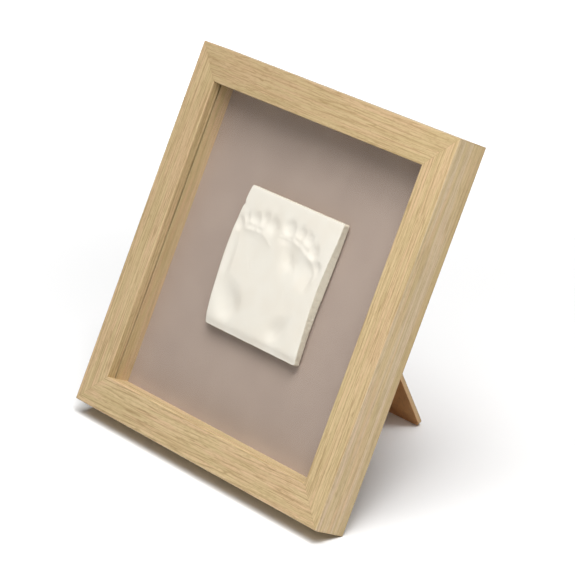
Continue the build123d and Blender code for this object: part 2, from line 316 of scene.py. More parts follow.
def dress(material, *names):
    """Gives a finish to nodes of the model, on the material slots that they have."""
    for name in names:
        for slot in nodes[name].material_slots:
            slot.material = material
    print(material.name, "on", ", ".join(names))


print("a screen grey of 188 is", round(tone(188, 188, 188)[0], 2), "of full light")

# %% [markdown]
# The picture has a plain white ground. If more light made it white, the oak would bleach too,
# so the ground is only white to the eye: Light Path tells camera rays and mirror rays from the
# rays that carry light. The floor answers those with a tone of its own, which clips to white in
# the open and keeps the object's soft shadow. That tone rises away from the frame, out of reach
# of the near lamps, as a studio's paper sweep burns out behind the object.

# %% Floor
looking_rays = ("Is Camera Ray", "Is Glossy Ray", "Is Transmission Ray")
floor_half = 4.0
floor_bounce = 0.80
floor_near = 0.88
floor_far = 1.26
floor_near_mm = 260.0
floor_far_mm = 850.0

floor_mesh = bpy.data.meshes.new("floor")
corner_signs = ((-1, -1), (1, -1), (1, 1), (-1, 1))
floor_corners = [(x * floor_half, y * floor_half, 0.0) for x, y in corner_signs]
floor_mesh.from_pydata(floor_corners, [], [(0, 1, 2, 3)])
floor = bpy.data.objects.new("floor", floor_mesh)
bpy.context.scene.collection.objects.link(floor)

paper = Finish("floor_paper")
paper_x, paper_y, _ = paper.place(Vector((0.0, 1.0, 0.0)), Vector((0.0, 0.0, 0.0)))
paper_reach = (paper_x * paper_x + paper_y * paper_y).math("SQRT")
paper_tone = floor_near + (floor_far - floor_near) * paper_reach.rise(floor_near_mm, floor_far_mm)
paper_color = paper.vector(paper_tone, paper_tone, paper_tone)
bounced = paper.node("ShaderNodeBsdfDiffuse", None, {"Color": (floor_bounce,) * 3 + (1.0,)})
looked_at = paper.node("ShaderNodeBsdfDiffuse", None, {"Color": paper_color})
paper_shader = paper.blend(paper.ray(*looking_rays), bounced.outputs[0], looked_at.outputs[0])
floor_mesh.materials.append(paper.end(paper_shader))
print("floor is seen", round(floor_near / floor_bounce, 2), "times as bright as it bounces")

# %% [markdown]
# Behind the floor is the world, and it has the same two answers. To the eye it is white. As
# light it is a faint glow from all sides, which keeps the deepest shadows open.

# %% Surroundings
sky_light = 0.12
white = (1.0, 1.0, 1.0, 1.0)

world = bpy.data.worlds.new("studio")
world.use_nodes = True
bpy.context.scene.world = world
sky = Finish(tree=world.node_tree)
sky_glow = sky.node("ShaderNodeBackground", None, {"Color": white, "Strength": sky_light})
sky_seen = sky.node("ShaderNodeBackground", None, {"Color": white, "Strength": 1.0})
sky_shader = sky.blend(sky.ray(*looking_rays), sky_glow.outputs[0], sky_seen.outputs[0])
sky.node("ShaderNodeOutputWorld", None, {"Surface": sky_shader})
print("sky is seen", round(1 / sky_light, 1), "times as bright as it shines")

# %% [markdown]
# Under the top rail the card is dark and clears within about 15 mm, the tile's shadow falls
# downwards, and the floor is dark under the raised front edge: the main light hangs straight
# above. The frame's right side is bright too, so a second light stands high on the right. Both
# are suns with a wide angle, whose shadows are as soft as a big softbox's. The front gets
# brighter towards its right upper corner, as only near lamps can make it, so two softboxes hang
# close, in front and to the right. A lamp shows a facing surface in its own colour when it
# brings pi watts to each square metre, and each share below is of that.


# %% Lamps
def sun(name, toward, share, angle):
    """A sun in the direction toward, angle degrees wide, that brings pi * share W/m^2."""
    data = bpy.data.lights.new(name, "SUN")
    data.energy = math.pi * share
    data.angle = math.radians(angle)
    made = bpy.data.objects.new(name, data)
    made.rotation_euler = Vector(toward).to_track_quat("Z", "Y").to_euler()
    bpy.context.scene.collection.objects.link(made)


def softbox(name, place, size, share):
    """A square lamp, aimed at the frame, that brings pi * share W/m^2 to its middle.

    A flat lamp of power P sends P / (pi * d^2) to a surface that faces it at distance d."""
    away = Vector(place) - centre
    data = bpy.data.lights.new(name, "AREA")
    data.size = size
    data.energy = math.pi * share * math.pi * away.length_squared
    made = bpy.data.objects.new(name, data)
    made.location = place
    made.rotation_euler = away.to_track_quat("Z", "Y").to_euler()
    made.visible_camera = False
    bpy.context.scene.collection.objects.link(made)
    print(name, "power", round(data.energy, 2), "W at", round(away.length, 2), "m")


sun("sky_panel", toward=(0.0, -0.10, 1.0), share=0.42, angle=44)
sun("right_panel", toward=(0.36, 0.0, 1.0), share=0.36, angle=20)
softbox("front_softbox", place=(0.10, -0.20, 0.85), size=0.45, share=0.31)
softbox("right_softbox", place=(0.45, -0.25, 0.65), size=0.40, share=0.38)

# %% [markdown]
# The mouldings are wrapped in straight grained oak. It shows four scales at once: dark lines of
# growth about 2 to 3 mm apart that wander a little, thin veins between them, fibre streaks
# under 1 mm wide, and short dark pores. An image would give all that, but would have to be
# unwrapped. A solid pattern needs none: noise that is stretched along the rail cuts streaks on
# every face by itself. Each rail runs its own way and has its own seed, so the grain turns at
# the mitres. The top rail is a darker board. Some boards also get painted shade towards the
# frame's top and left, and the frame's upper outer side is painted darker as shade too. The
# outer sides are calmer than the face.

# %% Oak tones and sizes
oak_pale = tone(208, 184, 141)
oak_rose = tone(212, 180, 143)
oak_olive = tone(188, 168, 122)
oak_line = tone(157, 131, 87)
oak_fibre = tone(178, 151, 108)
oak_pore = tone(132, 103, 66)
oak_joint = tone(150, 120, 82)
oak_cool = tone(206, 187, 160)
oak_gold = tone(184, 160, 112)
# painted shade: the dark tone that boards take towards the frame's top and left
oak_painted_shade = tone(120, 92, 56)

seed_shift = 37.0
strip_boldness = 0.4
mitre_gap = 0.20
side_margin = 0.4
side_fade = 0.3
side_reach = mm_per_m * frame_side / 2 - side_margin
side_marks = 0.65
gold_from = 6.5
gold_to = 2.5
painted_shade_from = -50.0
painted_shade_to = 100.0
flame_from = -10.0
flame_to = -60.0
depth_slope = 0.85
ripple_size = 0.9
crowd_size = 4.5
line_depth = 0.012
fibre_depth = 0.010
pore_depth = 0.05
print("the outer sides begin", round(side_reach, 1), "mm from the middle")

# %% [markdown]
# The pattern is one function, because all the boards share it. What tells them apart is their
# seed, the pitch of their lines, and how much these lean and wander.


# %% Oak
def oak(name, runs_across, seed, pitch, figure=4.0, slant=0.0, flame=0.0, deep=(0, 0), strip=False):
    """Oak whose grain runs across the frame or up it, or a calmer strip of it.

    A growth line lies where the sine of 2 pi ring is high. ring is the distance beside the
    grain, plus a slow noise of figure millimetres and a slant, over the pitch of the lines.
    A vein lies where a stretched noise passes its middle, so veins are thin and unevenly
    spaced. flame adds small arches on the rail's first half. deep is how much the board
    darkens at its left or lower end and at its right or upper end, with a smooth step
    between: painted shade towards the frame's top and left, over the top rail's darker board
    tone. The outer sides have cool patches and a golden band near the back, and the frame's
    upper side is painted darker, as shade. The joints at the corners lie where the places
    across and up the frame are equally far from its middle. A strip has fainter marks, and no
    joints."""
    finish = Finish(name)
    x, y, z = finish.place(up, centre)
    along, beside = (x, y) if runs_across else (y, x)
    shift = seed * seed_shift

    def grain(length, width, detail=2.0, roughness=0.5):
        """Noise whose lumps are length mm long with the grain and width mm wide beside it."""
        return finish.noise(along / length + shift, beside / width, z / width, detail, roughness)

    wander = grain(130, 20, detail=1.0) - 0.5
    ripple = grain(9, 1.6) - 0.5
    crowd = grain(400, 6.0, detail=1.0) - 0.5
    ring = beside + z * depth_slope + along * slant
    ring = ring + wander * figure + ripple * ripple_size + crowd * crowd_size
    if flame:
        ring = ring + (grain(8, 3) - 0.5) * flame * along.rise(flame_from, flame_to)
    wave = (ring * (2 * math.pi / pitch)).math("SINE") * 0.5 + 0.5
    dash = grain(2.6, 0.17, detail=1.0)
    fade = grain(30, 2.0).rise(0.40, 0.66)
    line = wave**4 * (0.30 + 0.70 * fade) * (0.7 + 0.3 * dash.rise(0.35, 0.65))
    vein = abs(grain(75, 2.3, roughness=0.35) - 0.5).rise(0.030, 0.0)
    fleck = grain(4.5, 0.55, detail=1.0).rise(0.52, 0.66)

    streak = grain(70, 0.7, roughness=0.6)
    fibre = streak.rise(0.50, 0.68)
    glint = streak.rise(0.48, 0.32)
    broad = grain(40, 3.6).rise(0.44, 0.60)
    olive = finish.noise(along / 60 - shift, beside / 4.2, z / 4.2, detail=1.0).rise(0.50, 0.66)
    pore = dash.rise(0.62, 0.72) * (0.30 + 0.70 * line)

    color = finish.mix(broad * 0.80, oak_pale, oak_rose)
    color = finish.mix(olive * 0.50, color, oak_olive)
    # painted shade: the board darkens towards its upper or left end, by the two deep shares
    first_painted_shade, last_painted_shade = deep
    darker = first_painted_shade + (last_painted_shade - first_painted_shade) * along.rise(painted_shade_from, painted_shade_to)
    color = finish.mix(darker, color, oak_painted_shade)
    color = finish.mix(glint * 0.45, color, oak_olive)
    marks = strip_boldness
    if not strip:
        outside = abs(x).math("MAXIMUM", abs(y)).rise(side_reach, side_reach + side_fade)
        veil = finish.noise(along / 130 + shift, z / 5.0, beside / 20, detail=1.0)
        color = finish.mix(outside * veil.rise(0.36, 0.60) * 0.6, color, oak_cool)
        color = finish.mix(outside * z.rise(gold_from, gold_to) * 0.6, color, oak_gold)
        # painted shade: the frame's upper outer side is darkened with the line tone
        color = finish.mix(y.rise(side_reach, side_reach + side_fade) * 0.75, color, oak_line)
        marks = 1 - (1 - side_marks) * outside
    color = finish.mix(fibre * (0.52 * marks), color, oak_fibre)
    color = finish.mix(fleck * (0.36 * marks), color, oak_line)
    color = finish.mix(line.math("MAXIMUM", vein * 0.75) * (0.95 * marks), color, oak_line)
    color = finish.mix(pore * 0.60, color, oak_pore)
    if not strip:
        joint = abs(abs(x) - abs(y)).rise(mitre_gap, 0.0)
        color = finish.mix(joint * 0.6, color, oak_joint)
    return finish.surface(
        {
            "Base Color": color,
            "Roughness": 0.42 + 0.14 * fibre + 0.20 * pore,
            "Specular IOR Level": 0.35,
        },
        height=line * -line_depth + fibre * -fibre_depth + pore * -pore_depth,
    )


# deep: painted shade at the top rail's left end and the stiles' upper ends, over the top rail's darker
# board tone
dress(oak("oak_top", True, 1, 2.3, figure=6.0, slant=0.02, flame=3.5, deep=(0.26, 0.13)), "rail_top")
dress(oak("oak_bottom", True, 2, 2.7, figure=5.0, slant=-0.05), "rail_bottom")
dress(oak("oak_left", False, 3, 2.1, deep=(0.03, 0.11)), "stile_left")
dress(oak("oak_right", False, 4, 2.1, deep=(0.0, 0.06)), "stile_right")
dress(oak("oak_strip_across", True, 5, 2.6, strip=True), "spacer_top", "spacer_bottom")
dress(oak("oak_strip_up", False, 6, 2.6, strip=True), "spacer_left", "spacer_right")

# %% [markdown]
# The pane is clear sheet, hardly seen but for the thin line at its edge. It bends the light on
# its way in, and that makes the sheet look thinner than it is. A lamp can't be found through a
# bending surface, so the rays that carry light meet a Transparent shader instead and go straight
# through. Only the rays that look are bent. Its mirror follows Schlick's rule: a small share
# head on, plus the fifth power of one less the cosine of the angle.

# %% Pane
pane_head_on = 0.010
pane_bend_index = 1.49
pane_tint = (0.990, 0.994, 0.988, 1.0)
pane_pass = (0.948, 0.952, 0.946, 1.0)

pane = Finish("clear_pane")
pane_layer = pane.node("ShaderNodeLayerWeight", None, {"Blend": 0.5})
pane_slant = Value(pane, pane_layer.outputs["Facing"])
pane_mirror = pane_head_on + (1 - pane_head_on) * pane_slant**5
pane_bend = pane.node(
    "ShaderNodeBsdfRefraction", None, {"Color": pane_tint, "Roughness": 0.0, "IOR": pane_bend_index}
)
pane_gloss = pane.node("ShaderNodeBsdfGlossy", None, {"Roughness": 0.0})
pane_clear = pane.node("ShaderNodeBsdfTransparent", None, {"Color": pane_pass})
pane_seen = pane.blend(pane_mirror, pane_bend.outputs[0], pane_gloss.outputs[0])
pane_lighting = pane.ray("Is Shadow Ray", "Is Diffuse Ray")
dress(pane.end(pane.blend(pane_lighting, pane_seen, pane_clear.outputs[0])), "pane")

# %% [markdown]
# The card is uncoated and taupe. Up close such card is a felt of short fibres in slightly
# different browns, with a slow cloudiness from how the pulp settled. Both are noise, one fine
# and one wide, and both stay faint, because the card reads as one calm colour from a step away.

# %% Card
card_tone = tone(174, 155, 144)
card_dark = tone(158, 139, 129)
card_pale = tone(186, 168, 158)
card_cloud_size = 28
felt_width = 0.35
felt_length = 0.8
felt_thickness = 0.5
felt_height = 0.008

card = Finish("taupe_card")
card_x, card_y, card_z = card.place(up, centre)
card_cloud = card.lumps((card_x, card_y, card_z), card_cloud_size).rise(0.30, 0.70)
felt = card.noise(
    card_x / felt_width, card_y / felt_length, card_z / felt_thickness, detail=3.0, roughness=0.65
)
card_color = card.mix(card_cloud * 0.30, card_tone, card_dark)
card_color = card.mix(felt.rise(0.52, 0.75) * 0.16, card_color, card_pale)
card_color = card.mix(felt.rise(0.46, 0.25) * 0.14, card_color, card_dark)
card_material = card.surface({"Base Color": card_color, "Roughness": 0.92}, felt * felt_height)
dress(card_material, "backing_card")

# %% [markdown]
# The tile is the hero. The prints are pits with round bottoms, pressed at different depths,
# and the clay stands up a little in ridges between the toes and the ball of the foot. Sculpting
# would do it, but a formula is easier to change: the face is a grid of heights, and every toe,
# ball and heel takes its own pit away from it. Sizes here are in millimetres from the middle
# of the tile, x to the right and y up the frame. Three shapes are enough for all of it.

# %% Shapes that press into the clay
lattice_size = 64


def wave_noise(x, y, size, seed, height):
    """Smooth random heights from -height to height, with lumps of a size.

    Random values sit on a square lattice, and a point blends the four around it with
    weights that follow 3 t^2 - 2 t^3, so that the slope has no jumps."""
    lattice = np.random.default_rng(seed).uniform(-1, 1, (lattice_size, lattice_size))
    column, row = x / size, y / size
    left, low = np.floor(column).astype(int), np.floor(row).astype(int)
    right_share, high_share = column - left, row - low
    right_share = right_share**2 * (3 - 2 * right_share)
    high_share = high_share**2 * (3 - 2 * high_share)

    def corner(right, high):
        """The lattice value at one of the four corners around each point."""
        return lattice[(low + high) % lattice_size, (left + right) % lattice_size]

    lower = corner(0, 0) * (1 - right_share) + corner(1, 0) * right_share
    upper = corner(0, 1) * (1 - right_share) + corner(1, 1) * right_share
    return height * (lower * (1 - high_share) + upper * high_share)


def pit(x, y, place, reach, depth, turn=0.0, firm=1.0):
    """Depth of a pit: depth * exp(-q^firm), with q the squared distance in its own reaches.

    reach is how far the pit goes to its left, right, low and high side, so each wall can be
    as steep as the photo shows. turn leans its axes, in degrees. A firm of 1 is a soft
    bowl, and more gives a flatter bottom with steeper walls."""
    angle = math.radians(turn)
    dx, dy = x - place[0], y - place[1]
    side = dx * math.cos(angle) + dy * math.sin(angle)
    rise = dy * math.cos(angle) - dx * math.sin(angle)
    left, right, low, high = reach
    q = (side / np.where(side < 0, left, right)) ** 2 + (rise / np.where(rise < 0, low, high)) ** 2
    return depth * np.exp(-(q**firm))


def crease(x, y, route, width, height):
    """Height of a ridge along a bent line: height * exp(-(d / width)^2), d the distance to it."""
    nearest = np.full(x.shape, np.inf)
    for (ax, ay), (bx, by) in zip(route, route[1:]):
        run_x, run_y = bx - ax, by - ay
        share = np.clip(((x - ax) * run_x + (y - ay) * run_y) / (run_x**2 + run_y**2), 0, 1)
        nearest = np.minimum(nearest, np.hypot(x - ax - share * run_x, y - ay - share * run_y))
    return height * np.exp(-((nearest / width) ** 2))


kept_share = float(pit(1.0, 0.0, place=(0.0, 0.0), reach=(1.0, 1.0, 1.0, 1.0), depth=1.0))
print("at its reach a pit still has", round(kept_share, 2), "of its depth")

# %% [markdown]
# Each foot is a few pits. A toe is a small deep one. The ball is a wide shallow one whose upper
# wall is steep, and it fades out towards the arch. The heel is deep again. Pits that overlap
# aren't added up, because two presses in one place don't go twice as deep: the cube root of
# their summed cubes follows the deeper one and rounds the crossing.

# %% Pits of the two feet
left_pits = [
    {"place": (-15.2, 27.6), "reach": (5.5, 5.5, 5.0, 5.4), "depth": 1.95, "firm": 1.2},
    {"place": (-23.7, 29.6), "reach": (4.6, 4.4, 4.1, 4.3), "depth": 1.45, "firm": 1.2},
    {"place": (-32.0, 27.6), "reach": (5.2, 5.0, 4.0, 4.2), "depth": 1.5, "firm": 1.2},
    {"place": (-39.8, 26.2), "reach": (2.8, 2.8, 3.5, 3.5), "depth": 1.05, "firm": 1.2},
    {"place": (-44.6, 20.8), "reach": (5.0, 3.5, 4.4, 4.2), "depth": 1.5, "firm": 1.3},
    {"place": (-35.2, 22.0), "reach": (2.3, 2.3, 2.2, 2.2), "depth": 0.7, "firm": 1.0},
    {"place": (-31.4, 22.2), "reach": (2.8, 2.8, 2.6, 2.6), "depth": 0.8, "firm": 1.0},
    {"place": (-25.4, 21.6), "reach": (2.6, 2.6, 2.0, 2.0), "depth": 0.5, "firm": 1.0},
    {"place": (-31.0, 12.5), "reach": (10.0, 16.0, 24.0, 6.5), "depth": 0.95, "firm": 1.5},
    {"place": (-43.4, -2.0), "reach": (4.0, 3.6, 17.0, 14.0), "depth": 1.15, "firm": 1.1},
    {"place": (-29.0, -30.5), "reach": (9.0, 9.4, 7.8, 16.0), "depth": 2.8, "turn": 40, "firm": 1.3},
]
right_pits = [
    {"place": (0.8, 30.4), "reach": (5.0, 5.0, 5.2, 5.0), "depth": 2.0, "firm": 1.5},
    {"place": (1.4, 23.4), "reach": (5.6, 5.6, 4.0, 3.4), "depth": 0.95, "firm": 1.2},
    {"place": (12.2, 30.6), "reach": (4.3, 4.3, 4.2, 4.0), "depth": 1.5, "firm": 1.3},
    {"place": (20.5, 29.4), "reach": (4.3, 4.1, 4.0, 4.2), "depth": 1.4, "firm": 1.3},
    {"place": (28.4, 22.8), "reach": (4.0, 3.8, 4.9, 4.9), "depth": 1.6, "firm": 1.3},
    {"place": (35.2, 13.8), "reach": (3.6, 3.4, 4.4, 4.2), "depth": 1.8, "firm": 1.3},
    {"place": (11.2, 24.8), "reach": (4.2, 4.2, 2.5, 2.5), "depth": 0.8, "turn": -14, "firm": 1.0},
    {"place": (20.0, 22.0), "reach": (4.6, 4.6, 2.5, 2.5), "depth": 0.45, "turn": -20, "firm": 1.0},
    {"place": (9.4, 11.0), "reach": (5.6, 8.0, 6.5, 9.5), "depth": 2.6, "turn": 12, "firm": 0.9},
    {"place": (31.2, 9.4), "reach": (12.5, 4.5, 11.0, 6.5), "depth": 2.2, "turn": -12, "firm": 1.35},
    {"place": (22.0, -14.0), "reach": (10.0, 9.0, 14.0, 14.0), "depth": 0.45, "firm": 1.0},
    {"place": (19.0, -33.0), "reach": (6.2, 5.8, 7.8, 11.0), "depth": 2.6, "turn": -40, "firm": 1.1},
]
print("pits:", len(left_pits), "in the left print and", len(right_pits), "in the right")

# %% [markdown]
# Between the toes and the ball the clay was squeezed up into a ridge, and skin left short folds
# and the fine lines of the sole. The whole tile is a little lumpy too, as rolled clay is.

# %% Ridges, lines and lumps
print_depth = 0.68
left_ridge = [(-37.5, 19.0), (-32.0, 20.2), (-24.0, 20.8), (-20.0, 19.8), (-16.0, 17.8), (-12.0, 15.5)]
right_ridge = [(8.0, 23.5), (16.0, 22.0), (20.5, 20.2), (24.5, 18.4), (29.5, 16.0), (33.0, 12.0)]
right_ridge.append((35.5, 5.0))
ball_fold = [(11.0, 16.6), (14.0, 12.2), (16.4, 8.4)]
big_toe_fold = [(-5.6, 23.4), (0.0, 23.9), (5.0, 23.2)]
ridges = [
    {"route": left_ridge, "width": 1.5, "height": 0.16},
    {"route": right_ridge, "width": 1.8, "height": 0.20},
    {"route": ball_fold, "width": 1.4, "height": 0.12},
    {"route": big_toe_fold, "width": 0.9, "height": 0.14},
]
sole_lines = [
    [(-26.5, 2.5), (-22.0, -4.5)],
    [(14.0, -6.0), (19.0, -15.5)],
    [(18.5, -8.5), (22.5, -20.5)],
    [(26.5, -15.5), (29.5, -21.5)],
]
sole_line_width = 0.5
sole_line_depth = 0.10
wide_lumps = {"size": 17.0, "seed": 11, "height": 0.10}
small_lumps = {"size": 4.5, "seed": 12, "height": 0.035}


def pressed(x, y):
    """Height of the clay above the flat tile: ridges and lumps, less sole lines and pits.

    The pits together are the cube root of the sum of their cubes."""
    depths = [print_depth * pit(x, y, **shape) for shape in left_pits + right_pits]
    pressed_in = np.cbrt(np.sum(np.array(depths) ** 3, axis=0))
    raised = sum(crease(x, y, **ridge) for ridge in ridges)
    lines = sum(crease(x, y, route, sole_line_width, sole_line_depth) for route in sole_lines)
    lumps = wave_noise(x, y, **wide_lumps) + wave_noise(x, y, **small_lumps)
    return raised + lumps - lines - pressed_in


heel_x, heel_y = left_pits[-1]["place"]
heel_height = pressed(np.array([heel_x]), np.array([heel_y]))[0]
print("the left heel lies", round(-float(heel_height), 2), "mm deep")

# %% [markdown]
# The new tile takes the place of the CAD tile, so its size is read from there. Its left side
# bulges, and its middle is the middle of what is left without that bulge.

# %% Box of the tile
tile_left, tile_right = [mm_per_m * place for place in span("clay_tile", across)]
tile_low, tile_high = [mm_per_m * (place - middle_up) for place in span("clay_tile", up)]
tile_back, tile_front = [mm_per_m * (place - back_level) for place in span("clay_tile", front)]
tile_thickness = tile_front - tile_back
left_bulge = 4.0
half_width = (tile_right - tile_left - left_bulge) / 2
half_height = (tile_high - tile_low) / 2
tile_middle_y = (tile_high + tile_low) / 2
tile_middle_x = tile_right - half_width
print("tile:", round(2 * half_width + left_bulge, 1), "x", round(2 * half_height, 1), "mm")

# %% [markdown]
# The tile was rolled out and cut by hand. Its left side bulges where the feet pushed the clay
# out, and has a nick near its top. Its right side is slightly hollow, and its corners are a
# little round. The mesh starts as a square grid that is pushed out to that outline. Each side
# moves by a curve of the height on the tile, and the move fades out towards the other side.

# %% Outline of the tile
corner_round = 0.9
edge_round = 0.45
bulge_power = 0.9
bulge_upwards = 0.25
nick_place = 34.0
nick_reach = 1.5
nick_depth = 1.3
left_sway = {"size": 9.0, "seed": 21, "height": 0.25}
right_hollow = 1.5
hollow_share = -0.35
right_slope = 2.1
slope_share = 0.15
side_share = 0.65


def bell(place, middle, reach):
    """1 at the middle and less on both sides of it: exp(-((place - middle) / reach)^2)."""
    return np.exp(-(((place - middle) / reach) ** 2))


def squared_circle(u, v):
    """Turns the unit square of a corner into a quarter disc: u sqrt(1 - v^2 / 2), and v alike."""
    return u * np.sqrt(1 - v**2 / 2), v * np.sqrt(1 - u**2 / 2)


def side_curve(up_share, middle_share):
    """How far the right side moves: a bell about middle_share, times 1 - up_share^4.

    It is 0 at the tile's lower and upper end, where up_share is -1 and 1."""
    return bell(up_share, middle_share, side_share) * (1 - up_share**4)


def outline(s, t):
    """Place on the tile of a grid point with s and t from -1 to 1, its corners rounded.

    The left side moves out by a power of the cosine of up_share, more on its upper half, with
    a sway and less the nick. The right side moves in by two side curves, its hollow and its
    slope. Each move fades to nothing at the other side, as the square of the way across."""
    width, height = half_width - edge_round, half_height - edge_round
    x, y = s * width, t * height
    over_x = np.clip((np.abs(x) - (width - corner_round)) / corner_round, 0, 1)
    over_y = np.clip((np.abs(y) - (height - corner_round)) / corner_round, 0, 1)
    round_x, round_y = squared_circle(over_x, over_y)
    x = np.sign(x) * (np.minimum(np.abs(x), width - corner_round) + round_x * corner_round)
    y = np.sign(y) * (np.minimum(np.abs(y), height - corner_round) + round_y * corner_round)
    up_share = np.clip(y / height, -1, 1)
    bulge = np.cos(up_share * math.pi / 2) ** bulge_power * (1 + bulge_upwards * up_share)
    nick = nick_depth * bell(y, nick_place, nick_reach)
    sway = wave_noise(y, 0 * y, **left_sway) * (1 - up_share**4)
    hollow = right_hollow * side_curve(up_share, hollow_share)
    slope = right_slope * side_curve(up_share, slope_share)
    left_share = np.clip(0.5 - x / (2 * width), 0, 1) ** 2
    right_share = np.clip(0.5 + x / (2 * width), 0, 1) ** 2
    x = x - left_share * (left_bulge * bulge - nick + sway) - right_share * (hollow + slope)
    return x, y


side_x = [round(float(outline(side, 0.0)[0]), 1) for side in (-1.0, 1.0)]
print("halfway up, the sides are at", side_x, "mm from the middle")

# %% [markdown]
# Now the grid gets its heights. Close to the rim the relief is calmer and the face drops a
# little. The lower edge is softer than the others, and the lower left corner most of all. The
# face starts a little under the front of the CAD tile, so that the ridges have room.

# %% Face of the tile
grid_count = 281
ridge_room = 0.35
rim_band_share = 0.05
rim_relief_share = 0.35
rim_drop = 0.15
low_corner = {"place": (-48.0, -46.0), "reach": (6.0, 6.0, 7.0, 7.0), "depth": 0.6}
low_edge_place = -46.0
low_edge_reach = 3.1
low_edge_drop = 0.9

shares = np.linspace(-1, 1, grid_count)
grid_s, grid_t = np.meshgrid(shares, shares)
face_x, face_y = outline(grid_s, grid_t)
relief = pressed(face_x, face_y)
inland = np.clip((1 - np.maximum(np.abs(grid_s), np.abs(grid_t))) / rim_band_share, 0, 1)
face_z = tile_thickness - ridge_room - rim_drop * (1 - inland) ** 2
face_z = face_z + relief * (rim_relief_share + (1 - rim_relief_share) * inland)
face_z = face_z - pit(face_x, face_y, **low_corner)
face_z = face_z - low_edge_drop * bell(face_y, low_edge_place, low_edge_reach)
print("deepest print:", round(float(-relief.min()), 2), "mm")

# %% [markdown]
# From the rim of the grid a profile is carried all the way round: over the rounded edge, down
# the cut side, and in under the back. The knife dragged through the clay, so the side is rough,
# and the right side leans out on its way down. The foot of the side is cut under, which leaves
# the dark line over the card.

# %% Sides of the tile
edge_steps = 6
wall_steps = 8
back_undercut = 0.9
back_set_in = 1.4
right_flare = 0.8
# shares of the cut side's roughness and of its painted shade for the rounded edge and the back ring
rough_and_shade_on_edge = 0.2
rough_and_shade_on_back = 0.4
rough_rows = 5.0
coarse_marks = {"size": 1.7, "seed": 31, "height": 0.16}
coarse_start = 3.0
fine_marks = {"size": 0.7, "seed": 32, "height": 0.10}
fine_start = 9.0

point_number = np.arange(grid_count**2).reshape(grid_count, grid_count)
rim = np.concatenate(
    [point_number[0, :-1], point_number[:-1, -1], point_number[-1, :0:-1], point_number[:0:-1, 0]]
)
rim_x, rim_y, rim_z = face_x.ravel()[rim], face_y.ravel()[rim], face_z.ravel()[rim]
along_x = np.roll(rim_x, -1) - np.roll(rim_x, 1)
along_y = np.roll(rim_y, -1) - np.roll(rim_y, 1)
along_size = np.hypot(along_x, along_y)
out_x, out_y = along_y / along_size, -along_x / along_size
rim_length = np.cumsum(along_size / 2)

bend = np.linspace(0, math.pi / 2, edge_steps + 1)[1:]
down = np.linspace(0, 1, wall_steps + 1)[1:] * (1 - back_undercut / tile_thickness)
profile_out = np.concatenate([edge_round * np.sin(bend), np.full(wall_steps + 1, edge_round)])
profile_drop = np.concatenate([edge_round * (1 - np.cos(bend)), np.full(wall_steps + 1, edge_round)])
profile_share = np.concatenate([np.zeros(edge_steps), down, [1.0]])
ring_count = len(profile_out)

# roughness and painted shade of each ring, rising over the rounded edge as it turns away from the face
cut_and_shade_share = np.concatenate(
    [np.linspace(rough_and_shade_on_edge, 1, edge_steps), np.ones(wall_steps), [rough_and_shade_on_back]]
)
mark_rows = profile_share[:, None] * rough_rows
rough = wave_noise(rim_length[None, :], mark_rows + coarse_start, **coarse_marks)
rough = rough + wave_noise(rim_length[None, :], mark_rows + fine_start, **fine_marks)
rim_up = np.clip(rim_y / half_height, -1, 1)
lean_out = (right_slope + right_flare) * side_curve(rim_up, slope_share) * np.clip(out_x, 0, 1)
ring_out = profile_out[:, None] + rough * cut_and_shade_share[:, None] + lean_out * profile_share[:, None]
shrink = 1 - np.append(np.zeros(ring_count - 1), back_set_in / half_height)
ring_x = rim_x[None, :] * shrink[:, None] + out_x[None, :] * ring_out
ring_y = rim_y[None, :] * shrink[:, None] + out_y[None, :] * ring_out
ring_z = (rim_z[None, :] - profile_drop[:, None]) * (1 - profile_share[:, None])
print("rim:", round(float(rim_length[-1])), "mm round, carried down in", ring_count, "rings")

# %% [markdown]
# The mesh is one closed skin: faces with four corners over the grid and down the sides, and a
# fan of triangles that closes the back. Each point also keeps how much of the rough cut side it
# has, as an attribute, for the clay's finish to read: it makes the side coarser, and paints it
# darker as shade.

# %% Mesh of the tile
points_x = np.concatenate([face_x.ravel(), ring_x.ravel(), [0.0]])
points_y = np.concatenate([face_y.ravel(), ring_y.ravel(), [0.0]])
points_z = np.concatenate([face_z.ravel(), ring_z.ravel(), [0.0]])
tile_ways = np.array([across, up, front])
tile_origin = centre + (across * tile_middle_x + up * tile_middle_y + front * tile_back) / mm_per_m
tile_points = np.stack([points_x, points_y, points_z], axis=1) @ tile_ways / mm_per_m
tile_points = np.array(tile_origin) + tile_points

lower_left = point_number[:-1, :-1].ravel()
face_quads = np.stack(
    [lower_left, lower_left + 1, lower_left + 1 + grid_count, lower_left + grid_count], axis=1
)
ring_number = grid_count**2 + np.arange(ring_count * len(rim)).reshape(ring_count, len(rim))
loops = np.concatenate([rim[None, :], ring_number])
upper, lower = loops[:-1], loops[1:]
ring_quads = np.stack(
    [upper, lower, np.roll(lower, -1, axis=1), np.roll(upper, -1, axis=1)], axis=2
).reshape(-1, 4)
last = loops[-1]
fan = np.stack([last, np.full(len(last), len(points_x) - 1), np.roll(last, -1)], axis=1)

tile_mesh = bpy.data.meshes.new("pressed_tile")
tile_faces = face_quads.tolist() + ring_quads.tolist() + fan.tolist()
tile_mesh.from_pydata(tile_points.tolist(), [], tile_faces)
tile_mesh.shade_smooth()
cut_and_shade_values = np.concatenate([np.zeros(grid_count**2), np.repeat(cut_and_shade_share, len(rim)), [1.0]])
cut_layer = tile_mesh.attributes.new("cut", "FLOAT", "POINT")
cut_layer.data.foreach_set("value", cut_and_shade_values.astype(np.float32))
tile = bpy.data.objects.new("pressed_tile", tile_mesh)
bpy.context.scene.collection.objects.link(tile)
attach(tile, "frame")
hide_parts("clay_tile")
print("tile:", len(tile_mesh.polygons), "faces")

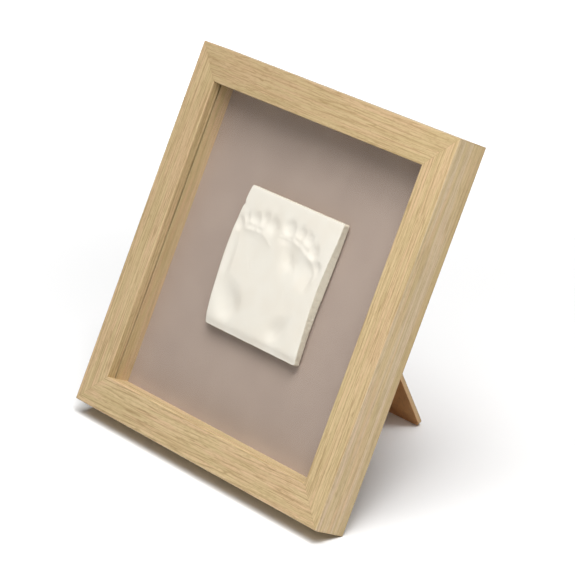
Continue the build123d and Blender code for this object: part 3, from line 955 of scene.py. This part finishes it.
# %% [markdown]
# Air dried clay is matte and warm white. What tells it from plaster or plastic is its skin: a
# faint unevenness, fine pores where air was caught, and open grain on the sides where the knife
# dragged. The skin is a bump too small to model, and the cut attribute that was stored on the
# mesh makes it coarser on the sides. The same attribute paints the cut sides much darker, as
# shade, and the pores are painted darker too, as shade in them.

# %% Clay
clay_tone = tone(243, 236, 226)
clay_warm = tone(238, 228, 215)
clay_painted_shade = tone(191, 182, 161)
haze_size = 14
skin_size = 1.3
clay_pore_size = 0.35
skin_height = 0.035
cut_skin_height = 0.16
clay_pore_depth = 0.02
cut_pore_depth = 0.10

clay = Finish("air_dried_clay")
clay_place = clay.place(up, centre)
cut = clay.attribute("cut")
haze = clay.lumps(clay_place, haze_size).rise(0.35, 0.70)
skin = clay.lumps(clay_place, skin_size, detail=4.0, roughness=0.6)
open_pore = clay.lumps(clay_place, clay_pore_size).rise(0.64, 0.76)
clay_color = clay.mix(haze * 0.45, clay_tone, clay_warm)
# painted shade: the cut sides take the much darker clay tone, and so do the pores, as shade in them
clay_color = clay.mix(cut * 0.65, clay_color, clay_painted_shade)
clay_color = clay.mix(open_pore * (0.10 + 0.35 * cut), clay_color, clay_painted_shade)
clay_height = skin * (skin_height + cut_skin_height * cut)
clay_height = clay_height - open_pore * (clay_pore_depth + cut_pore_depth * cut)
clay_material = clay.surface(
    {"Base Color": clay_color, "Roughness": 0.88, "Specular IOR Level": 0.3}, clay_height
)
tile_mesh.materials.append(clay_material)
print(clay_material.name, "on", tile.name)

# %% [markdown]
# Four foam pads lift the tile off the card. Cut foam shows its cells, so a cell pattern darkens
# the walls between them and sinks the cells a little.

# %% Foam
foam_pale = tone(236, 235, 230)
foam_dark = tone(205, 203, 196)
foam_cell_size = 0.35
foam_cell_depth = 0.06

foam = Finish("white_foam")
foam_cells = foam.vector(*[place / foam_cell_size for place in foam.place(up, centre)])
cells = foam.node("ShaderNodeTexVoronoi", {"feature": "F1"}, {"Vector": foam_cells, "Scale": 1.0})
cell = Value(foam, cells.outputs["Distance"])
foam_color = foam.mix(cell.rise(0.2, 0.7), foam_pale, foam_dark)
foam_material = foam.surface({"Base Color": foam_color, "Roughness": 0.9}, cell * foam_cell_depth)
dress(foam_material, "foam_pads")

# %% [markdown]
# The back panel and the leg are hardboard: wood fibre pressed hard and brown. Its faces are
# smooth, clouded, and flecked with bundles of fibre and with darker and paler fibres that lie
# every way. One side is a rawer, paler brown than the other. Where the saw went through, the
# edge is paler still and furry. The distance out of the board's middle plane tells one side
# from the other and a face from an edge, so one formula dresses it all.

# %% Hardboard
board_cloud_size = 22
fibre_width = 0.5
long_fibre_length = 2.4
cross_fibre_length = 2.0
cross_fibre_width = 0.45
cross_fibre_shift = 40
bundle_width = 1.3
bundle_length = 4.5
bundle_shift = 80
fur_width = 0.4
fur_thickness = 0.25
edge_inset = 0.05
edge_inset_full = 0.30
side_change = 0.2
fibre_dent = 0.012
fur_height = 0.12


def hardboard(name, board_up, origin, thickness, face, raw, fleck, pale, edge):
    """Brown pressed fibre with a sawn edge, for a board whose middle plane goes through origin.

    face and raw are the tones of the sides that its front direction points into and out of.
    The edge starts edge_inset under each of them and is full at edge_inset_full, by the
    distance from the middle plane. Bundles and fibres are noises, stretched up or across."""
    finish = Finish(name)
    x, y, z = finish.place(board_up, origin)
    half = mm_per_m * thickness / 2
    cloud = finish.lumps((x, y, z), board_cloud_size, detail=3.0).rise(0.30, 0.70)
    thin = z / fibre_width
    cross_x = x / cross_fibre_length + cross_fibre_shift
    bundle_y = y / bundle_length + bundle_shift
    long_fibre = finish.noise(x / fibre_width, y / long_fibre_length, thin, 3.0, roughness=0.65)
    cross_fibre = finish.noise(cross_x, y / cross_fibre_width, thin, 3.0, roughness=0.65)
    bundle = finish.noise(x / bundle_width, bundle_y, z / bundle_width, distortion=0.6).rise(0.54, 0.70)
    dark = long_fibre.rise(0.54, 0.74)
    light = cross_fibre.rise(0.56, 0.76)
    sawn = abs(z).rise(half - edge_inset, half - edge_inset_full)
    fur = finish.noise(x / fur_width, y / fur_width, z / fur_thickness, 3.0, roughness=0.7)
    color = finish.mix(z.rise(-side_change, side_change), face, raw)
    color = finish.mix(cloud * 0.25, color, fleck)
    color = finish.mix(bundle * 0.35, color, fleck)
    color = finish.mix(dark * 0.45, color, fleck)
    color = finish.mix(light * 0.40, color, pale)
    color = finish.mix(sawn * (0.55 + 0.45 * fur), color, edge)
    return finish.surface(
        {"Base Color": color, "Roughness": 0.5 + 0.15 * dark + 0.3 * sawn},
        height=(dark + light) * -fibre_dent + sawn * fur * fur_height,
    )


panel_low, panel_high = span("back_panel", front)
panel_material = hardboard(
    "panel_hardboard",
    board_up=up,
    origin=up * middle_up + front * (panel_low + panel_high) / 2,
    thickness=panel_high - panel_low,
    face=tone(150, 116, 80),
    raw=tone(172, 138, 98),
    fleck=tone(116, 84, 54),
    pale=tone(178, 146, 106),
    edge=tone(184, 150, 108),
)
dress(panel_material, "back_panel")

leg_lean = math.radians(joints["leg_hinge"]["range_deg"][1]) - lean
leg_up = Vector((0.0, -math.sin(leg_lean), math.cos(leg_lean)))
leg_front = across.cross(leg_up)
leg_inner, leg_outer = span("stand_leg", leg_front)
# painted light: the leg's raw side, flecks, pale fibres and sawn edge are brighter than the panel's
# same hardboard, to light its shaded inner face and edge
leg_painted_light_material = hardboard(
    "leg_hardboard_painted_light",
    board_up=leg_up,
    origin=leg_front * (leg_inner + leg_outer) / 2,
    thickness=leg_outer - leg_inner,
    face=tone(150, 116, 80),
    raw=tone(216, 158, 98),
    fleck=tone(134, 93, 54),
    pale=tone(196, 156, 106),
    edge=tone(222, 190, 146),
)
dress(leg_painted_light_material, "stand_leg")

# %% [markdown]
# Hinge, buttons, screws and hanger are stamped from zinc plated steel. Plating is a mirror
# that has been softened: fine rolling lines, cloudy patches that are a little rougher, and a
# cool grey. Only roughness, colour and a very fine bump vary, and the metal does the rest by
# mirroring the room.

# %% Plated steel
patch_size = 6
rolled_length = 14
grit_size = 0.3
rolled_height = 0.006
grit_height = 0.004


def plated(name, bright, dull, rough, line_size):
    """Zinc plated or drawn steel with rolling lines of a size in millimetres across them.

    Roughness is rough, plus a little where a wide noise makes a dull patch or a noise that is
    stretched along the lines is high."""
    finish = Finish(name)
    x, y, z = finish.place(up, centre)
    patch = finish.lumps((x, y, z), patch_size, detail=3.0, roughness=0.6).rise(0.35, 0.68)
    line = finish.noise(x / rolled_length, y / line_size, z / line_size, roughness=0.6)
    grit = finish.lumps((x, y, z), grit_size)
    return finish.surface(
        {
            "Base Color": finish.mix(patch, bright, dull),
            "Metallic": 1.0,
            "Roughness": rough + 0.08 * patch + 0.08 * line,
        },
        height=line * rolled_height + grit * grit_height,
    )


dress(
    plated("zinc_plate", tone(214, 214, 210), tone(198, 199, 197), rough=0.28, line_size=0.2),
    "panel_hinge_leaf",
    "leg_hinge_leaf",
    "turn_button_lower_left",
    "turn_button_lower_right",
    "turn_button_upper_left",
    "turn_button_upper_right",
    "sawtooth_hanger",
)
dress(
    plated("bright_fastener", tone(202, 202, 198), tone(182, 182, 180), rough=0.22, line_size=0.4),
    "panel_leaf_rivets",
    "leg_leaf_rivets",
    "hinge_pin",
    "turn_button_screws",
    "hanger_nails",
    "corner_nails",
)

# %% [markdown]
